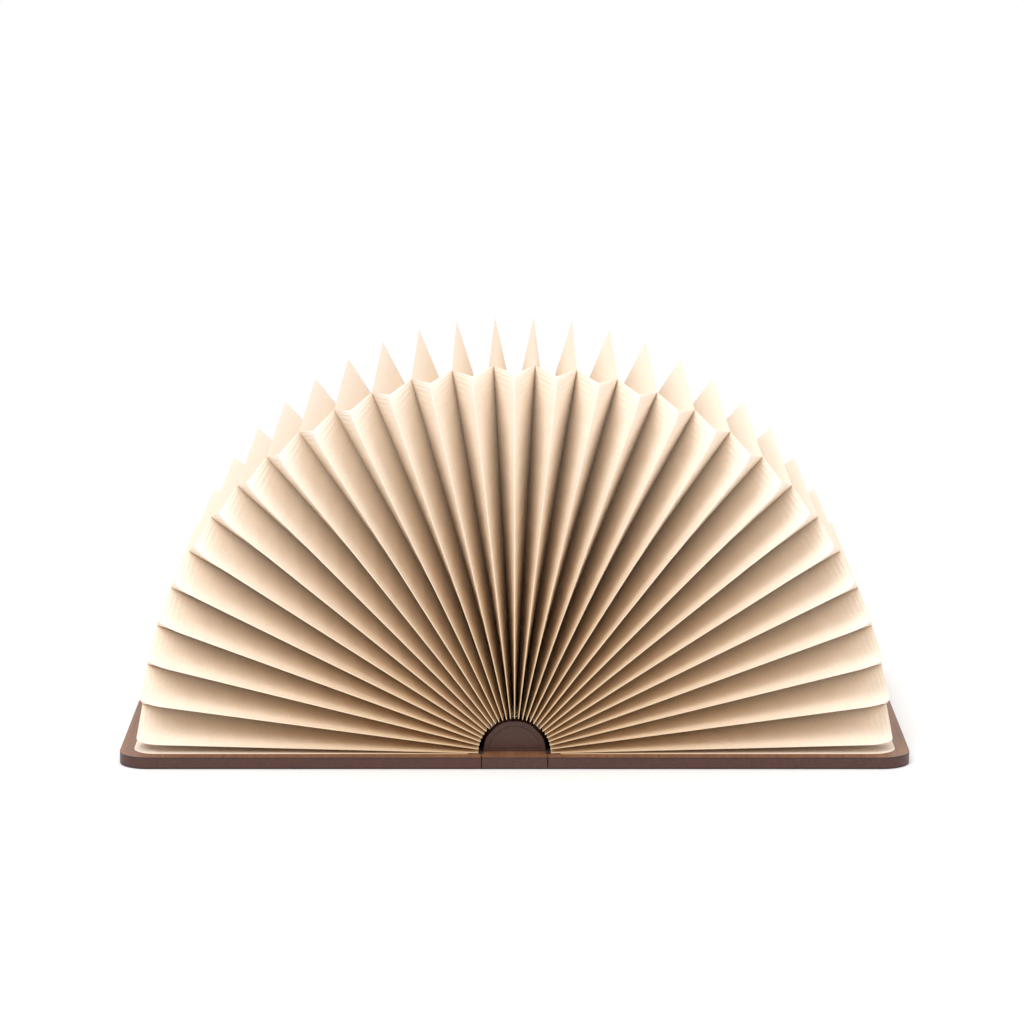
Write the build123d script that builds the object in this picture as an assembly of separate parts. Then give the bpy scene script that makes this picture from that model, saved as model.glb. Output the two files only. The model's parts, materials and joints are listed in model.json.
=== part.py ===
from build123d import *
import logging
import math
import os

# A lamp in the form of a book. It lies open on its two covers, and its pleated
# paper pages stand around the spine as a half-round fan.
# X runs across the open covers, Y from the front to the back, and Z is up.
# The origin is at the middle of the underside. All lengths are in millimetres.

# Covers and spine
COVER_WIDTH = 170.0
COVER_DEPTH = 215.0
SPINE_WIDTH = 31.0
BOARD_THICKNESS = 4.3
VENEER_THICKNESS = 0.6
COVER_CORNER_RADIUS = 14.0
SEAM_GAP = 0.2
SPINE_CORNER_RADIUS = 0.8

# Light core on the spine
CORE_RADIUS = 14.6
CORE_WALL = 2.4
CORE_FLOOR = 1.6
CORE_SETBACK = 11.5
CAP_THICKNESS = 3.0
FIT_CLEARANCE = 0.15

# Light strips on the core
STRIP_WIDTH = 5.0
STRIP_THICKNESS = 0.5
STRIP_MARGIN = 9.0
STRIP_ANGLES = {"led_strip_left": 135.0, "led_strip_top": 90.0, "led_strip_right": 45.0}
CHIP_LENGTH = 3.0
CHIP_WIDTH = 2.6
CHIP_HEIGHT = 0.7
CHIP_COUNT = 12

# Battery, circuit, socket and switch inside the core
BATTERY_RADIUS = 4.6
BATTERY_LENGTH = 65.0
BATTERY_CRADLE = 1.2
BOARD_SIZE = (17.0, 48.0, 1.2)
SOCKET_SIZE = (8.9, 7.3, 3.2)
SOCKET_WALL = 0.4
SWITCH_SIZE = (3.0, 14.0, 2.6)

# Fastenings and magnets
SCREW_RADIUS = 1.4
SCREW_HEAD_RADIUS = 2.6
SCREW_HEAD_HEIGHT = 1.4
SCREW_LENGTH = 5.4
SCREW_SPACING = 160.0
MAGNET_RADIUS = 4.0
MAGNET_THICKNESS = 2.4
MAGNET_INSET = 14.0
MAGNET_SPACING = 150.0

# Hinge strips and end leaves
HINGE_CLOTH_REACH = 6.0
HINGE_CLOTH_THICKNESS = 0.3
END_LEAF_THICKNESS = 0.3
END_LEAF_MARGIN = 6.5
END_LEAF_CORNER_RADIUS = 11.0

# Pleated pages
PLEAT_COUNT = 28
FAN_START_ANGLE = 1.5
PAGE_INNER_RADIUS = 17.0
PAGE_RADIUS = 178.0
PAGE_DEPTH = COVER_DEPTH - 2 * END_LEAF_MARGIN
PAGE_CORNER_RADIUS = 12.0
PLEAT_DEPTH = 40.0
PAPER_THICKNESS = 0.3
PLEAT_CLEARANCE = 0.15
TRIM_ALLOWANCE = 1.0

COVER_THICKNESS = BOARD_THICKNESS + 2 * VENEER_THICKNESS
HALF_SPINE = SPINE_WIDTH / 2
CORE_LENGTH = COVER_DEPTH - 2 * CORE_SETBACK
FAN_STEP = (180.0 - 2 * FAN_START_ANGLE) / PLEAT_COUNT
SIDES = {"left": -1, "right": 1}
BOTTOM = (Align.CENTER, Align.CENTER, Align.MIN)

log = logging.getLogger("book_lamp")


def slab(width, depth, thickness, height, centre_x, corners, radius):
    """Flat board with its underside at height and the corners on one side rounded."""
    outline = Rectangle(width, depth)
    if corners == "outer_left":
        picked = outline.vertices().sort_by(Axis.X)[:2]
    elif corners == "outer_right":
        picked = outline.vertices().sort_by(Axis.X)[-2:]
    else:
        picked = outline.vertices()
    return Pos(centre_x, 0, height) * extrude(fillet(picked, radius), thickness)


def magnet_places(side):
    """Centres of the magnets near the free edge of one cover."""
    x = side * (HALF_SPINE + COVER_WIDTH - MAGNET_INSET)
    return [(x, y) for y in (-MAGNET_SPACING / 2, MAGNET_SPACING / 2)]


def cover(name, side):
    """Board, two veneers, magnets and the end leaf of one cover."""
    width = COVER_WIDTH - SEAM_GAP
    centre_x = side * (HALF_SPINE + SEAM_GAP + width / 2)
    corners = "outer_right" if side > 0 else "outer_left"
    layers = {}
    for layer, height, thickness in (
        ("outer_veneer", 0.0, VENEER_THICKNESS),
        ("board", VENEER_THICKNESS, BOARD_THICKNESS),
        ("inner_veneer", VENEER_THICKNESS + BOARD_THICKNESS, VENEER_THICKNESS),
    ):
        layers[f"{name}_cover_{layer}"] = slab(
            width, COVER_DEPTH, thickness, height, centre_x, corners, COVER_CORNER_RADIUS
        )
    # The magnets lie in blind pockets in the board, closed by the inner veneer.
    magnet_height = VENEER_THICKNESS + BOARD_THICKNESS - MAGNET_THICKNESS
    magnets = []
    for x, y in magnet_places(side):
        pocket = Pos(x, y, magnet_height) * Cylinder(
            MAGNET_RADIUS + FIT_CLEARANCE, MAGNET_THICKNESS, align=BOTTOM
        )
        layers[f"{name}_cover_board"] -= pocket
        magnets.append(
            Pos(x, y, magnet_height) * Cylinder(MAGNET_RADIUS, MAGNET_THICKNESS, align=BOTTOM)
        )
    layers[f"{name}_cover_magnets"] = Compound(magnets)
    # The end leaf is glued to the cover and stops short of the hinge cloth.
    leaf_inner = HALF_SPINE + HINGE_CLOTH_REACH + FIT_CLEARANCE
    leaf_outer = HALF_SPINE + COVER_WIDTH - END_LEAF_MARGIN
    layers[f"{name}_end_leaf"] = slab(
        leaf_outer - leaf_inner,
        COVER_DEPTH - 2 * END_LEAF_MARGIN,
        END_LEAF_THICKNESS,
        COVER_THICKNESS,
        side * (leaf_outer + leaf_inner) / 2,
        corners,
        END_LEAF_CORNER_RADIUS,
    )
    return layers


def hinge_cloth(side):
    """Cloth strip over one seam, bonded to the spine and to the cover."""
    inner = CORE_RADIUS + FIT_CLEARANCE
    outer = HALF_SPINE + HINGE_CLOTH_REACH
    length = COVER_DEPTH - 2 * END_LEAF_MARGIN
    strip = Box(outer - inner, length, HINGE_CLOTH_THICKNESS, align=BOTTOM)
    return Pos(side * (inner + outer) / 2, 0, COVER_THICKNESS) * strip


def screw_places():
    """Y of each screw that holds the core to the spine board."""
    return [-SCREW_SPACING / 2, 0.0, SCREW_SPACING / 2]


def spine_board():
    """Spine board with countersunk holes for the core's screws."""
    board = slab(
        SPINE_WIDTH, COVER_DEPTH, BOARD_THICKNESS, VENEER_THICKNESS, 0, "all", SPINE_CORNER_RADIUS
    )
    for y in screw_places():
        hole = Pos(0, y, VENEER_THICKNESS) * Cylinder(
            SCREW_RADIUS + FIT_CLEARANCE, BOARD_THICKNESS, align=BOTTOM
        )
        seat = Pos(0, y, VENEER_THICKNESS) * Cylinder(
            SCREW_HEAD_RADIUS + FIT_CLEARANCE, SCREW_HEAD_HEIGHT, align=BOTTOM
        )
        board -= hole + seat
    return board


def spine_veneers():
    """Veneers on the two faces of the spine board, the inner one cut for the screws."""
    outer = slab(SPINE_WIDTH, COVER_DEPTH, VENEER_THICKNESS, 0, 0, "all", SPINE_CORNER_RADIUS)
    inner_height = VENEER_THICKNESS + BOARD_THICKNESS
    inner = slab(
        SPINE_WIDTH, COVER_DEPTH, VENEER_THICKNESS, inner_height, 0, "all", SPINE_CORNER_RADIUS
    )
    for y in screw_places():
        inner -= Pos(0, y, inner_height) * Cylinder(
            SCREW_RADIUS + FIT_CLEARANCE, VENEER_THICKNESS, align=BOTTOM
        )
    return {"spine_outer_veneer": outer, "spine_inner_veneer": inner}


def screws():
    """Screws from under the spine board into the floor of the core."""
    made = []
    for y in screw_places():
        head = Pos(0, y, VENEER_THICKNESS) * Cylinder(
            SCREW_HEAD_RADIUS, SCREW_HEAD_HEIGHT, align=BOTTOM
        )
        shank = Pos(0, y, VENEER_THICKNESS) * Cylinder(SCREW_RADIUS, SCREW_LENGTH, align=BOTTOM)
        made.append(head + shank)
    return Compound(made)


def half_round(radius, length, floor):
    """Half-round bar along Y, flat side down at height floor above the axis."""
    bar = Rot(90, 0, 0) * Cylinder(radius, length)
    keep = Pos(0, 0, floor) * Box(4 * radius, 2 * length, 2 * radius, align=BOTTOM)
    return bar & keep


def strip_place(angle, height):
    """Frame on the flat of the core at an angle from +X, facing outwards."""
    base = Pos(0, 0, COVER_THICKNESS) * Rot(0, 90 - angle, 0)
    return base * Pos(0, 0, height)


def strip_flat_height():
    """Distance of the flats under the light strips from the core's axis."""
    return math.sqrt(CORE_RADIUS**2 - (STRIP_WIDTH / 2 + FIT_CLEARANCE) ** 2)


def core_body():
    """Hollow half-round body with flats for the light strips."""
    shape = half_round(CORE_RADIUS, CORE_LENGTH, 0)
    cavity = half_round(CORE_RADIUS - CORE_WALL, CORE_LENGTH, CORE_FLOOR)
    shape = Pos(0, 0, COVER_THICKNESS) * (shape - cavity)
    for angle in STRIP_ANGLES.values():
        cutter = Box(2 * STRIP_WIDTH, CORE_LENGTH, CORE_RADIUS, align=BOTTOM)
        shape -= strip_place(angle, strip_flat_height()) * cutter
    for y in screw_places():
        shape -= Pos(0, y, COVER_THICKNESS) * Cylinder(SCREW_RADIUS, CORE_FLOOR, align=BOTTOM)
    return shape


def end_cap(end):
    """Half-round plug pressed into one end of the core."""
    plug = half_round(
        CORE_RADIUS - CORE_WALL - FIT_CLEARANCE, CAP_THICKNESS, CORE_FLOOR + FIT_CLEARANCE
    )
    y = end * (CORE_LENGTH - CAP_THICKNESS) / 2
    cap = Pos(0, y, COVER_THICKNESS) * plug
    if end > 0:
        width, depth, height = SOCKET_SIZE
        cap -= Pos(0, y, socket_height()) * Box(
            width + 2 * FIT_CLEARANCE, depth, height + 2 * FIT_CLEARANCE
        )
    return cap


def board_height():
    """Underside of the circuit board, just above the floor of the core."""
    return COVER_THICKNESS + CORE_FLOOR


def socket_height():
    """Middle height of the charging socket, which stands on the circuit board."""
    return board_height() + BOARD_SIZE[2] + SOCKET_SIZE[2] / 2


def circuit():
    """Circuit board and the charging socket at the back end of the core."""
    width, length, thickness = BOARD_SIZE
    back = CORE_LENGTH / 2
    board_y = back - CAP_THICKNESS - FIT_CLEARANCE - length / 2
    board = Pos(0, board_y, board_height()) * Box(width, length, thickness, align=BOTTOM)
    socket_width, socket_depth, socket_tall = SOCKET_SIZE
    outline = fillet(Rectangle(socket_width, socket_tall).vertices(), socket_tall / 2.05)
    mouth = offset(outline, -SOCKET_WALL)
    shell = extrude(outline, socket_depth) - Pos(0, 0, SOCKET_WALL) * extrude(mouth, socket_depth)
    socket = Pos(0, back - socket_depth, socket_height()) * Rot(-90, 0, 0) * shell
    return {"circuit_board": board, "charging_socket": socket}


def battery():
    """Round rechargeable cell in a cradle, in the front half of the core."""
    y = -CORE_LENGTH / 2 + CAP_THICKNESS + FIT_CLEARANCE + BATTERY_LENGTH / 2
    floor = COVER_THICKNESS + CORE_FLOOR
    axis_height = floor + BATTERY_CRADLE + BATTERY_RADIUS
    cell = Pos(0, y, axis_height) * Rot(90, 0, 0) * Cylinder(BATTERY_RADIUS, BATTERY_LENGTH)
    cradle = Pos(0, y, floor) * Box(
        2 * BATTERY_RADIUS, BATTERY_LENGTH, BATTERY_CRADLE + BATTERY_RADIUS / 2, align=BOTTOM
    )
    groove = Pos(0, y, axis_height) * Rot(90, 0, 0) * Cylinder(BATTERY_RADIUS, BATTERY_LENGTH + 1)
    return {"battery": cell, "battery_cradle": cradle - groove}


def lid_switch():
    """Magnetic switch on the floor of the core, between battery and circuit."""
    width, length, height = SWITCH_SIZE
    return Pos(0, length, COVER_THICKNESS + CORE_FLOOR) * Box(width, length, height, align=BOTTOM)


def led_strip(angle):
    """Flexible light strip on one flat of the core."""
    length = CORE_LENGTH - 2 * STRIP_MARGIN
    return strip_place(angle, strip_flat_height()) * Box(
        STRIP_WIDTH, length, STRIP_THICKNESS, align=BOTTOM
    )


def led_chips(angle):
    """Row of light chips on one strip."""
    pitch = (CORE_LENGTH - 2 * STRIP_MARGIN) / CHIP_COUNT
    place = strip_place(angle, strip_flat_height() + STRIP_THICKNESS)
    chips = []
    for number in range(CHIP_COUNT):
        y = (number - (CHIP_COUNT - 1) / 2) * pitch
        chips.append(place * Pos(0, y, 0) * Box(CHIP_WIDTH, CHIP_LENGTH, CHIP_HEIGHT, align=BOTTOM))
    return chips


def pleat_section(radius):
    """Outline of a folded leaf pair at one radius: a deep V in front, one leaf behind."""
    half = radius * math.tan(math.radians(FAN_STEP / 2)) - PLEAT_CLEARANCE
    front = -PAGE_DEPTH / 2 - TRIM_ALLOWANCE
    valley = -PAGE_DEPTH / 2 + PLEAT_DEPTH
    back = PAGE_DEPTH / 2 + TRIM_ALLOWANCE
    skin = PAPER_THICKNESS
    points = [
        (-half, front),
        (-half + skin, front),
        (0, valley - 4 * skin),
        (half - skin, front),
        (half, front),
        (skin / 2, valley),
        (skin / 2, back),
        (-skin / 2, back),
        (-skin / 2, valley),
    ]
    return Pos(0, 0, radius) * make_face(Polyline(*points, close=True))


def pleat(number):
    """One pleat of the page fan, turned to its place about the spine."""
    outer_radius = PAGE_RADIUS + TRIM_ALLOWANCE
    blank = loft([pleat_section(PAGE_INNER_RADIUS), pleat_section(outer_radius)], ruled=True)
    # The leaves are trimmed to size, with their two free corners rounded.
    outline = Rectangle(PAGE_DEPTH, PAGE_RADIUS)
    outline = fillet(outline.vertices().sort_by(Axis.Y)[-2:], PAGE_CORNER_RADIUS)
    outline = Pos(0, PAGE_RADIUS / 2) * outline
    trim = Plane.YZ * extrude(outline, PAGE_RADIUS / 2, both=True)
    angle = FAN_START_ANGLE + (number - 0.5) * FAN_STEP
    return Pos(0, 0, COVER_THICKNESS) * Rot(0, angle - 90, 0) * (blank & trim)


def pieces():
    """Every node of the lamp with its solid."""
    made = {}
    for name, side in SIDES.items():
        made.update(cover(name, side))
        made[f"{name}_hinge_cloth"] = hinge_cloth(side)
    made.update(spine_veneers())
    made["spine_board"] = spine_board()
    made["core_screws"] = screws()
    made["core_body"] = core_body()
    made["front_end_cap"] = end_cap(-1)
    made["rear_end_cap"] = end_cap(1)
    made.update(battery())
    made.update(circuit())
    made["lid_switch"] = lid_switch()
    chips = []
    for strip, angle in STRIP_ANGLES.items():
        made[strip] = led_strip(angle)
        chips += led_chips(angle)
    made["led_chips"] = Compound(chips)
    for number in range(1, PLEAT_COUNT + 1):
        made[f"pleat_{number:02d}"] = pleat(number)
    return made


def main():
    """Write one STEP file for each node."""
    logging.basicConfig(level=logging.INFO, format="%(message)s")
    os.makedirs("parts", exist_ok=True)
    for name, shape in pieces().items():
        export_step(shape, f"parts/{name}.step")
        log.info("%s %.1f mm3", name, shape.volume)


main()
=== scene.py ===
"""Dresses the folding book lamp: walnut covers, a pleated paper fan and a plain studio."""

import json
import logging
import math
from dataclasses import dataclass
from enum import Enum

import bpy
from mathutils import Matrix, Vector

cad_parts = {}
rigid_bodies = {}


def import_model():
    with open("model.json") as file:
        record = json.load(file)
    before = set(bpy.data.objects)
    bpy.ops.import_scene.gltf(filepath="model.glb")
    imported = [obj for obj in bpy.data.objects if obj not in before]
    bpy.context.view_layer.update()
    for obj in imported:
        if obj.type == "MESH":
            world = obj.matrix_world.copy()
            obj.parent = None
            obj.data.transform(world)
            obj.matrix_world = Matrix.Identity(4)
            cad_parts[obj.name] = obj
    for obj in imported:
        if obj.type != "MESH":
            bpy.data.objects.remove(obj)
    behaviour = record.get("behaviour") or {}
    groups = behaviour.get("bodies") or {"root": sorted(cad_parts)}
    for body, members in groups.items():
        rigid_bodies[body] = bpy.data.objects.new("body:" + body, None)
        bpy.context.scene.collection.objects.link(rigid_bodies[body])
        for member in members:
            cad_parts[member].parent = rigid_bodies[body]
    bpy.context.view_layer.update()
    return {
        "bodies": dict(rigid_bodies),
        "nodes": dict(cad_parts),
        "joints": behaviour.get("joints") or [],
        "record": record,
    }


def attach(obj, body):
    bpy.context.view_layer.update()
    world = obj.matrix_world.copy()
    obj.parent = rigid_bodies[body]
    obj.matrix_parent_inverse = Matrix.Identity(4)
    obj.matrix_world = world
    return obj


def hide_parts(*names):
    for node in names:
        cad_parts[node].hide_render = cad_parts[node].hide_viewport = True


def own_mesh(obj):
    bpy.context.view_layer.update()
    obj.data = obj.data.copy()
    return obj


log = logging.getLogger("book_lamp")
MM = 0.001

# Wood grain runs along Y, in lines about 1.5 mm wide and 45 mm long.
WOOD_LINES_PER_METRE = (650.0, 22.0, 650.0)
# Fibre, thread and grit are finer than this 1.1 mm, and are drawn coarse so that they show.
SPECKS_PER_METRE = (900.0, 900.0, 900.0)
PATTERN_DETAIL = 6.0
PATTERN_ROUGHNESS = 0.6
PATTERN_LOW = 0.3
PATTERN_HIGH = 0.7
BUMP_STRENGTH = 0.25
BUMP_HEIGHT = 0.2 * MM


def linear(code: str) -> tuple[float, float, float, float]:
    """Turn an sRGB hex colour to linear values.

    Args:
        code: Six hex digits after a hash sign.

    Returns:
        Linear red, green and blue, with an alpha of one.
    """
    parts = [int(code[i : i + 2], 16) / 255 for i in (1, 3, 5)]
    red, green, blue = (p / 12.92 if p <= 0.04045 else ((p + 0.055) / 1.055) ** 2.4 for p in parts)
    return (red, green, blue, 1.0)


def add(
    tree: bpy.types.NodeTree,
    kind: str,
    settings: dict | None = None,
    inputs: dict | None = None,
) -> bpy.types.Node:
    """Add a node with its settings and links.

    Args:
        tree: The node tree.
        kind: The node's type name.
        settings: Attributes of the node.
        inputs: Values or output sockets for its input sockets.

    Returns:
        The new node.
    """
    node = tree.nodes.new(kind)
    for key, value in (settings or {}).items():
        setattr(node, key, value)
    for key, value in (inputs or {}).items():
        if isinstance(value, bpy.types.NodeSocket):
            tree.links.new(value, node.inputs[key])
        else:
            node.inputs[key].default_value = value
    return node


class Grain(Enum):
    """What the surface of a finish shows close up. All but wood share one pattern of specks."""

    WOOD = "wood"
    PAPER = "paper"
    CLOTH = "cloth"
    FINE = "fine"


@dataclass(frozen=True)
class Finish:
    """A surface finish, from what it is made of and how it was made."""

    name: str
    light: str
    dark: str
    roughness: float
    grain: Grain
    edge: str | None = None
    metallic: float = 0.0
    # Paper is painted towards this darker, warmer tint near the spine, as painted shade and bounce light,
    # fading from the first radius out to the second.
    warm: str = "#dcbd94"
    shade_full_radius: float = 20.0 * MM
    shade_end_radius: float = 160.0 * MM

    def painted_spine_shade(
        self,
        tree: bpy.types.NodeTree,
        place: bpy.types.NodeSocket,
        colour: bpy.types.NodeSocket,
    ) -> bpy.types.NodeSocket:
        """Tint the paper darker and warmer near the spine, as painted shade and painted bounce light between
        close leaves.

        Args:
            tree: The node tree.
            place: Object coordinates.
            colour: The colour of the paper at its free edge.

        Returns:
            The colour socket after the change.
        """
        across = add(tree, "ShaderNodeVectorMath", {"operation": "MULTIPLY"}, {0: place, 1: (1.0, 0.0, 1.0)})
        radius = add(tree, "ShaderNodeVectorMath", {"operation": "LENGTH"}, {0: across.outputs[0]})
        shade_share = add(
            tree,
            "ShaderNodeMapRange",
            inputs={0: radius.outputs["Value"], 1: self.shade_full_radius, 2: self.shade_end_radius},
        )
        mixed = add(
            tree,
            "ShaderNodeMix",
            {"data_type": "RGBA"},
            {0: shade_share.outputs[0], 6: linear(self.warm), 7: colour},
        )
        return mixed.outputs[2]

    def material(self) -> bpy.types.Material:
        """Make the finish as a node material.

        Returns:
            The material, with its colour and bump from one pattern.
        """
        made = bpy.data.materials.new(self.name)
        made.use_nodes = True
        tree = made.node_tree
        shader = tree.nodes["Principled BSDF"]
        shader.inputs["Roughness"].default_value = self.roughness
        shader.inputs["Metallic"].default_value = self.metallic
        place = add(tree, "ShaderNodeTexCoord").outputs["Object"]
        stretch = WOOD_LINES_PER_METRE if self.grain is Grain.WOOD else SPECKS_PER_METRE
        mapped = add(tree, "ShaderNodeMapping", inputs={"Vector": place, "Scale": stretch})
        fine = add(
            tree,
            "ShaderNodeTexNoise",
            inputs={
                "Vector": mapped.outputs["Vector"],
                "Scale": 1.0,
                "Detail": PATTERN_DETAIL,
                "Roughness": PATTERN_ROUGHNESS,
            },
        )
        ramp = add(
            tree,
            "ShaderNodeMapRange",
            inputs={"Value": fine.outputs["Fac"], 1: PATTERN_LOW, 2: PATTERN_HIGH},
        )
        colour = add(
            tree,
            "ShaderNodeMix",
            {"data_type": "RGBA"},
            {"Factor": ramp.outputs["Result"], 6: linear(self.dark), 7: linear(self.light)},
        ).outputs[2]
        if self.grain is Grain.PAPER:
            # Painted shade and bounce light: the paper is tinted darker and warmer near the spine.
            colour = self.painted_spine_shade(tree, place, colour)
        if self.edge:
            # The cut edges are darker than the faces.
            normal = add(tree, "ShaderNodeNewGeometry").outputs["True Normal"]
            object_normal = add(
                tree,
                "ShaderNodeVectorTransform",
                {"vector_type": "NORMAL", "convert_from": "WORLD", "convert_to": "OBJECT"},
                {"Vector": normal},
            )
            height = add(tree, "ShaderNodeSeparateXYZ", inputs={0: object_normal.outputs[0]})
            flat = add(tree, "ShaderNodeMath", {"operation": "ABSOLUTE"}, {0: height.outputs["Z"]})
            colour = add(
                tree,
                "ShaderNodeMix",
                {"data_type": "RGBA"},
                {"Factor": flat.outputs[0], 6: linear(self.edge), 7: colour},
            ).outputs[2]
        tree.links.new(colour, shader.inputs["Base Color"])
        bump = add(
            tree,
            "ShaderNodeBump",
            inputs={
                "Height": fine.outputs["Fac"],
                "Strength": BUMP_STRENGTH,
                "Distance": BUMP_HEIGHT,
            },
        )
        tree.links.new(bump.outputs["Normal"], shader.inputs["Normal"])
        return made


FINISHES = {
    # Sliced walnut, oiled: mid-brown grain lines, a soft sheen and dark cut edges.
    "walnut_veneer": Finish("oiled_walnut_veneer", "#8a5f41", "#6b442c", 0.45, Grain.WOOD, "#2a1712"),
    # Stained plywood: reddish brown, seen only at the cut edge.
    "core_board": Finish("stained_plywood", "#4a251b", "#381a13", 0.5, Grain.WOOD),
    # Turned walnut, oiled dark: close grain and a low sheen.
    "core_wood": Finish("dark_turned_walnut", "#4a2a1c", "#341a10", 0.5, Grain.WOOD),
    # Book cloth: near black and quite matt.
    "hinge_cloth": Finish("woven_book_cloth", "#2c1a13", "#1d100b", 0.9, Grain.CLOTH),
    # Spunbonded paper: warm white and matt, with faint mottled fibre; near the spine it gets painted shade
    # and bounce light.
    "page_paper": Finish("spunbonded_paper", "#f8ecde", "#f1e0cc", 0.75, Grain.PAPER),
    # Nickel plate: bright grey with a soft reflection.
    "magnet": Finish("nickel_plated_magnet", "#c8c8cc", "#b4b4b8", 0.3, Grain.FINE, metallic=1.0),
    # Zinc plate: bright grey with a soft reflection.
    "screw_steel": Finish("zinc_plated_steel", "#c0c2c4", "#a8aaac", 0.35, Grain.FINE, metallic=1.0),
    # Shrunk PVC: plain blue with a clear highlight.
    "battery_sleeve": Finish("shrunk_pvc_sleeve", "#3b66a8", "#345c98", 0.35, Grain.FINE),
    # Moulded ABS: charcoal and satin.
    "cradle_plastic": Finish("moulded_abs", "#26262a", "#202024", 0.5, Grain.FINE),
    # Glass epoxy under green resist: dark and even.
    "circuit_laminate": Finish("glass_epoxy_laminate", "#1e5a34", "#184c2b", 0.4, Grain.FINE),
    # Drawn steel shell: bright and smooth.
    "socket_steel": Finish("drawn_steel", "#c6c8ca", "#b4b6b8", 0.3, Grain.FINE, metallic=1.0),
    # Moulded nylon: black and matt.
    "switch_plastic": Finish("moulded_nylon", "#1c1c1e", "#151517", 0.55, Grain.FINE),
    # White polyimide film: plain and slightly glossy.
    "strip_film": Finish("white_polyimide_film", "#efeee8", "#e4e2da", 0.5, Grain.FINE),
    # Phosphor under clear resin: yellow and glossy.
    "chip_phosphor": Finish("phosphor_resin", "#f3d37a", "#e8c468", 0.3, Grain.FINE),
}


@dataclass
class Woodwork:
    """The covers, spine and core, which keep their solids and get their finishes."""

    def dress(self, frame: dict) -> dict:
        """Give every node the finish of its material slot.

        Args:
            frame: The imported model.

        Returns:
            The materials by slot name.
        """
        made = {slot: finish.material() for slot, finish in FINISHES.items()}
        for part in frame["record"]["subparts"]:
            node = frame["nodes"][part["node"]]
            node.data.materials.clear()
            node.data.materials.append(made[part["material_slot"]])
            log.info("dressed %s as %s", part["node"], part["material_slot"])
        return made


@dataclass
class PageFan:
    """The pleated paper pages, in metres and degrees."""

    count: int = 28
    start_angle: float = 1.5
    axis_height: float = 5.5 * MM
    inner_radius: float = 17.0 * MM
    outer_radius: float = 178.0 * MM
    depth: float = 202.0 * MM
    corner_radius: float = 12.0 * MM
    pleat_depth: float = 40.0 * MM
    thickness: float = 0.25 * MM
    stack_width: float = 31.0 * MM
    wall_steps: int = 12
    corner_steps: int = 6

    def angle(self, number: float) -> float:
        """Angle of a fold from the left horizontal, in radians."""
        step = (180.0 - 2 * self.start_angle) / self.count
        return math.radians(self.start_angle + number * step)

    def point(self, radius: float, depth: float, angle: float) -> Vector:
        """Point at a radius, depth and angle about the spine."""
        return Vector((-radius * math.cos(angle), depth, self.axis_height + radius * math.sin(angle)))

    def stations(self) -> list[tuple[tuple[float, float], tuple[float, float]]]:
        """Follow the fold lines from the front foot to the back foot.

        Returns:
            Radius and depth on the ridge line and on the valley line, for each station.
        """
        front, back = -self.depth / 2, self.depth / 2
        top, corner = self.outer_radius, self.corner_radius
        valley, low = front + self.pleat_depth, self.outer_radius - self.pleat_depth
        rows = []
        for step in range(self.wall_steps + 1):
            radius = self.inner_radius + (top - corner - self.inner_radius) * step / self.wall_steps
            rows.append(((radius, front), (min(radius, top), valley)))
        for step in range(1, self.corner_steps + 1):
            turn = math.pi / 2 * step / self.corner_steps
            radius = top - corner + corner * math.sin(turn)
            rows.append(((radius, front + corner * (1 - math.cos(turn))), (radius, valley)))
        rows.append(((low, valley), (top, valley)))
        rows.append(((low, back - self.pleat_depth), (top, back)))
        rows.append(((self.inner_radius, back - self.pleat_depth), (self.inner_radius, back)))
        return rows

    def pleat(self, number: int) -> bpy.types.Object:
        """Build one pleat between two ridge lines, as one sheet with a valley between.

        Args:
            number: The pleat's number from the left, from one.

        Returns:
            The mesh object.
        """
        angles = [self.angle(number - 1), self.angle(number - 0.5), self.angle(number)]
        points = []
        for ridge, valley in self.stations():
            points.append(self.point(*ridge, angles[0]))
            points.append(self.point(*valley, angles[1]))
            points.append(self.point(*ridge, angles[2]))
        faces = []
        for row in range(len(points) // 3 - 1):
            for side in (0, 1):
                first = 3 * row + side
                faces.append((first, first + 1, first + 4, first + 3))
        mesh = bpy.data.meshes.new(f"pleat_{number:02d}_paper")
        mesh.from_pydata(points, [], faces)
        made = bpy.data.objects.new(f"pleat_{number:02d}_paper", mesh)
        bpy.context.scene.collection.objects.link(made)
        # Paper has two faces, so the sheet gets its real thickness.
        solid = made.modifiers.new("thickness", "SOLIDIFY")
        solid.thickness, solid.offset = self.thickness, 0
        depsgraph = bpy.context.evaluated_depsgraph_get()
        final = bpy.data.meshes.new_from_object(made.evaluated_get(depsgraph))
        made.modifiers.clear()
        made.data = final
        return made

    def build(self, frame: dict, paper: bpy.types.Material) -> None:
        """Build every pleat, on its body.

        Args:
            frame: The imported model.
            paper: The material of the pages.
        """
        for body, nodes in frame["record"]["behaviour"]["bodies"].items():
            numbers = [int(node[-2:]) for node in nodes if node.startswith("pleat_")]
            if not numbers:
                continue
            for number in numbers:
                made = self.pleat(number)
                made.data.materials.append(paper)
                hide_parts(f"pleat_{number:02d}")
                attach(made, body)
                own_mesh(made)
                log.info("built %s on %s", made.name, body)


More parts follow.
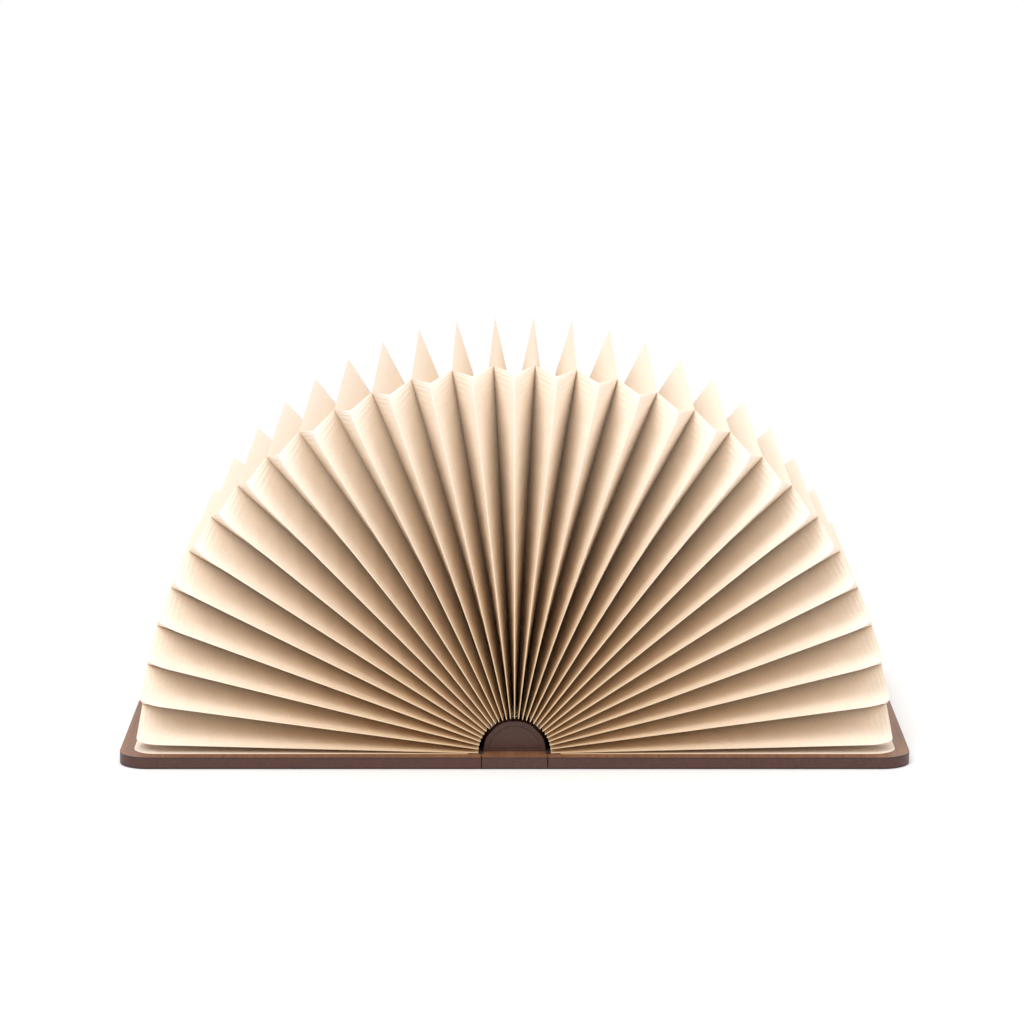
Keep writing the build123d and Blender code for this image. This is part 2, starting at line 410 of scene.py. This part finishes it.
@dataclass
class Studio:
    """A pale floor, soft light and the camera."""

    position: tuple[float, float, float] = (-1.2 * MM, -1929.5 * MM, 470.0 * MM)
    pitch: float = 10.81
    focal_length: float = 141.4
    sensor_width: float = 36.0
    white: str = "#ffffff"
    card_colour: str = "#f7f7f7"
    world_light: float = 0.62
    floor_size: float = 12.0
    floor_drop: float = 0.2 * MM
    fade_start: float = 0.35
    fade_end: float = 0.9
    aim: tuple[float, float, float] = (0.0, 0.0, 0.08)
    lamps: tuple[tuple[str, tuple[float, float, float], float, float], ...] = (
        ("key", (-0.9, -1.3, 1.5), 26.0, 1.2),
        ("fill", (1.3, -1.0, 1.1), 12.0, 1.4),
        ("top", (0.0, 0.3, 1.9), 14.0, 1.6),
    )

    def build(self) -> None:
        """Make the camera, the floor and the lamps."""
        scene = bpy.context.scene
        scene.view_settings.view_transform = "Standard"
        camera = bpy.data.objects.new("camera", bpy.data.cameras.new("camera"))
        camera.data.lens, camera.data.sensor_width = self.focal_length, self.sensor_width
        camera.location = self.position
        camera.rotation_euler = (math.radians(90 - self.pitch), 0, 0)
        scene.collection.objects.link(camera)
        scene.camera = camera
        world = bpy.data.worlds.new("studio")
        world.use_nodes = True
        tree = world.node_tree
        rays = add(tree, "ShaderNodeLightPath")
        seen = add(
            tree,
            "ShaderNodeMath",
            {"operation": "MAXIMUM"},
            {0: rays.outputs["Is Camera Ray"], 1: rays.outputs["Is Glossy Ray"]},
        )
        level = add(
            tree,
            "ShaderNodeMapRange",
            inputs={"Value": seen.outputs[0], 3: self.world_light, 4: 1.0},
        )
        tree.links.new(level.outputs[0], tree.nodes["Background"].inputs["Strength"])
        tree.nodes["Background"].inputs["Color"].default_value = linear(self.white)
        scene.world = world
        bpy.ops.mesh.primitive_plane_add(size=self.floor_size)
        floor = bpy.context.object
        floor.name = "floor"
        finish = bpy.data.materials.new("white_card")
        finish.use_nodes = True
        card = finish.node_tree
        shader = card.nodes["Principled BSDF"]
        shader.inputs["Base Color"].default_value = linear(self.card_colour)
        # The card fades out beyond the lamp, so that the white studio shows behind it.
        place = add(card, "ShaderNodeTexCoord").outputs["Object"]
        reach = add(card, "ShaderNodeVectorMath", {"operation": "LENGTH"}, {0: place})
        fade = add(
            card,
            "ShaderNodeMapRange",
            inputs={0: reach.outputs["Value"], 1: self.fade_start, 2: self.fade_end, 3: 1.0, 4: 0.0},
        )
        clear = add(card, "ShaderNodeBsdfTransparent")
        both = add(
            card,
            "ShaderNodeMixShader",
            inputs={0: fade.outputs[0], 1: clear.outputs[0], 2: shader.outputs[0]},
        )
        card.links.new(both.outputs[0], card.nodes["Material Output"].inputs["Surface"])
        floor.data.materials.append(finish)
        floor.location.z = -self.floor_drop
        for name, place, power, size in self.lamps:
            lamp = bpy.data.objects.new(name, bpy.data.lights.new(name, "AREA"))
            lamp.data.energy, lamp.data.size = power, size
            lamp.location = place
            turn = (Vector(self.aim) - Vector(place)).to_track_quat("-Z", "Y")
            lamp.rotation_euler = turn.to_euler()
            scene.collection.objects.link(lamp)


def main() -> None:
    """Build the camera, the wood, the pages and the light, in that order."""
    logging.basicConfig(level=logging.INFO, format="%(message)s")
    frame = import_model()
    Studio().build()
    materials = Woodwork().dress(frame)
    PageFan().build(frame, materials["page_paper"])


if __name__ == "__main__":
    main()
